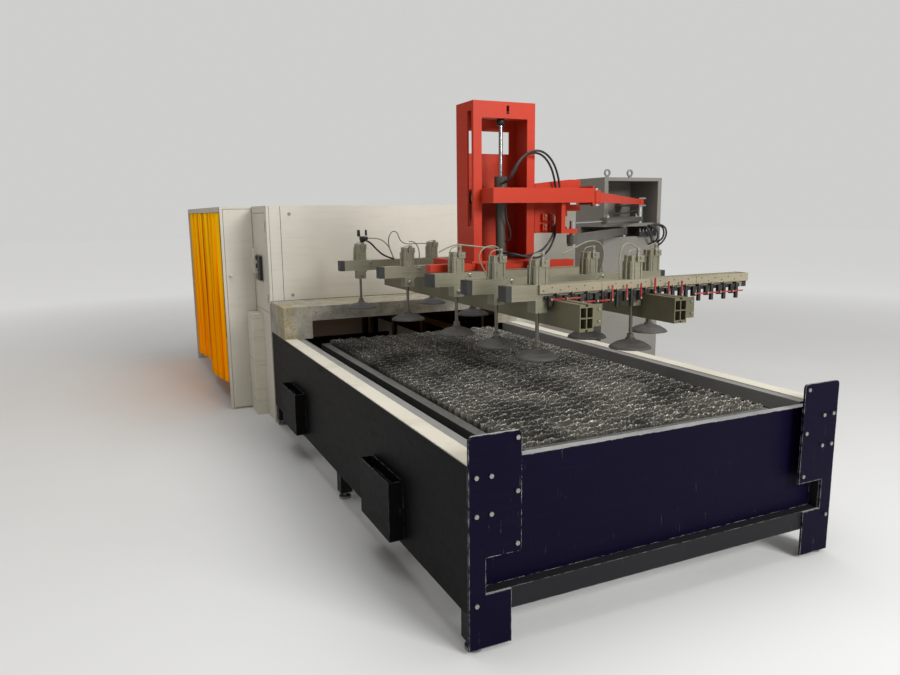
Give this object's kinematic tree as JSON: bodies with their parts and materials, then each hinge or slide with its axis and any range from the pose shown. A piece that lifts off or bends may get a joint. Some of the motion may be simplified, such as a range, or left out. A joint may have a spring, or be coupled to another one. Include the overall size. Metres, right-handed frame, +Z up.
{
  "type": "laser cutting machine",
  "caption": "Flat-bed laser cutting machine with a shuttle pallet, an enclosed gantry cell and a suction-cup sheet loader on a swinging parallel linkage.",
  "frame": {"origin": "centre of the underside of the near left levelling foot, on the floor", "axes": "+X to the right along the near end of the table, +Y from the near end towards the cutting cell, +Z up"},
  "size_m": [3.744, 7.45, 2.552],
  "materials": {
    "charcoal_paint": "satin, scratched",
    "navy_paint": "satin",
    "cream_paint": "satin, worn",
    "grey_paint": "satin",
    "enclosure_paint": "satin",
    "frame_paint": "satin",
    "hood_paint": "satin, stained",
    "slat_steel": "scorched",
    "bolt_steel": "bright",
    "machine_steel": "ground",
    "curtain_film": "translucent",
    "tower_paint": "satin",
    "loader_red": "gloss",
    "grey_green_paint": "satin",
    "cylinder_grey": "satin",
    "profile_aluminium": "anodised",
    "chromed_rod": "polished",
    "dark_fitting": "matt",
    "cream_bar": "satin, worn",
    "lever_red": "gloss",
    "hose_black": "matt",
    "air_tube": "semi-clear",
    "cup_rubber": "matt"
  },
  "bodies": {
    "machine": {"table_frame": "frame_paint", "left_side_panel": "charcoal_paint", "right_side_panel": "charcoal_paint", "left_top_cover": "cream_paint", "right_top_cover": "cream_paint", "left_guard_strip": "grey_paint", "right_guard_strip": "grey_paint", "near_end_panel": "navy_paint", "left_corner_plate": "navy_paint", "right_corner_plate": "navy_paint", "corner_bolts": "bolt_steel", "levelling_feet": "machine_steel", "pocket_boxes": "charcoal_paint", "left_pallet_rail": "machine_steel", "right_pallet_rail": "machine_steel", "hood_shell": "hood_paint", "cell_front_wall": "enclosure_paint", "cell_left_wall": "enclosure_paint", "cell_right_wall": "enclosure_paint", "cell_back_wall": "enclosure_paint", "cell_roof": "enclosure_paint", "aisle_frame": "enclosure_paint", "cable_box": "cream_paint", "strip_curtain": "curtain_film", "machine_bed": "frame_paint", "tower_pedestal": "tower_paint", "tower_housing": "tower_paint", "root_pins": "machine_steel"},
    "pallet": {"pallet_frame": "machine_steel", "support_slats": "slat_steel", "slat_combs": "slat_steel"},
    "gantry": {"gantry_bridge": "grey_paint"},
    "carriage": {"head_carriage": "grey_paint"},
    "cutter": {"cutting_head": "machine_steel"},
    "side_door_leaf": {"side_door": "enclosure_paint"},
    "aisle_door_leaf": {"aisle_door": "enclosure_paint"},
    "lower_arm": {"lower_link": "tower_paint"},
    "upper_arm": {"upper_link": "loader_red"},
    "barrel": {"swing_barrel": "cylinder_grey"},
    "rod": {"swing_rod": "chromed_rod"},
    "head": {"head_beam": "loader_red", "tip_pins": "machine_steel", "guide_block": "machine_steel", "valve_box": "loader_red", "valve_panel": "loader_red", "lift_cylinder": "cylinder_grey", "lift_hoses": "hose_black"},
    "lift": {"lift_rod": "chromed_rod", "lift_column": "loader_red", "lift_base": "loader_red", "cross_tubes": "grey_green_paint", "tube_caps": "dark_fitting", "profile_beams": "profile_aluminium", "scale_bar": "cream_bar", "valve_bank": "dark_fitting", "valve_levers": "lever_red", "cup_cylinders": "grey_green_paint", "air_lines": "air_tube"},
    "cups": {"cup_stems": "chromed_rod", "suction_cups": "cup_rubber"}
  },
  "joints": [
    {"name": "pallet_travel", "type": "slide", "parent": "machine", "child": "pallet", "axis": [0, 1, 0], "range_m": [0, 3.4]},
    {"name": "gantry_travel", "type": "slide", "parent": "machine", "child": "gantry", "axis": [0, 1, 0], "range_m": [-1.3, 1.3]},
    {"name": "cross_travel", "type": "slide", "parent": "gantry", "child": "carriage", "axis": [1, 0, 0], "range_m": [-0.7, 0.7]},
    {"name": "head_lift", "type": "slide", "parent": "carriage", "child": "cutter", "axis": [0, 0, 1], "range_m": [-0.12, 0.1]},
    {"name": "side_door_hinge", "type": "hinge", "parent": "machine", "child": "side_door_leaf", "pos_m": [-0.0533, 3.91, 1.44], "axis": [0, 0, 1], "range_deg": [0, 100]},
    {"name": "aisle_door_hinge", "type": "hinge", "parent": "machine", "child": "aisle_door_leaf", "pos_m": [-0.0533, 4.532, 0.96], "axis": [0, 0, 1], "range_deg": [-85, 0]},
    {"name": "link_swing", "type": "hinge", "parent": "machine", "child": "lower_arm", "pos_m": [2.985, 2.828, 1.68], "axis": [0, 0, 1], "range_deg": [0, 70]},
    {"name": "upper_link_swing", "type": "hinge", "parent": "machine", "child": "upper_arm", "pos_m": [3.165, 2.828, 1.942], "axis": [0, 0, 1], "range_deg": [0, 70]},
    {"name": "head_level", "type": "hinge", "parent": "lower_arm", "child": "head", "pos_m": [1.514, 1.504, 1.68], "axis": [0, 0, 1], "range_deg": [-70, 0]},
    {"name": "barrel_swing", "type": "hinge", "parent": "machine", "child": "barrel", "pos_m": [3.165, 2.828, 1.788], "axis": [0, 0, 1], "range_deg": [0, 70]},
    {"name": "swing_rod_stroke", "type": "slide", "parent": "barrel", "child": "rod", "axis": [-0.7801, -0.6256, 0], "range_m": [-0.25, 0]},
    {"name": "lift", "type": "slide", "parent": "head", "child": "lift", "axis": [0, 0, 1], "range_m": [-0.255, 0]},
    {"name": "cup_stroke", "type": "slide", "parent": "lift", "child": "cups", "axis": [0, 0, 1], "range_m": [0, 0.05]}
  ],
  "couplings": [
    {"joint": "upper_link_swing", "follows": "link_swing", "ratio": 1},
    {"joint": "head_level", "follows": "link_swing", "ratio": -1},
    {"joint": "barrel_swing", "follows": "link_swing", "ratio": 0.976},
    {"joint": "swing_rod_stroke", "follows": "link_swing", "m_per_rad": -0.1615}
  ]
}
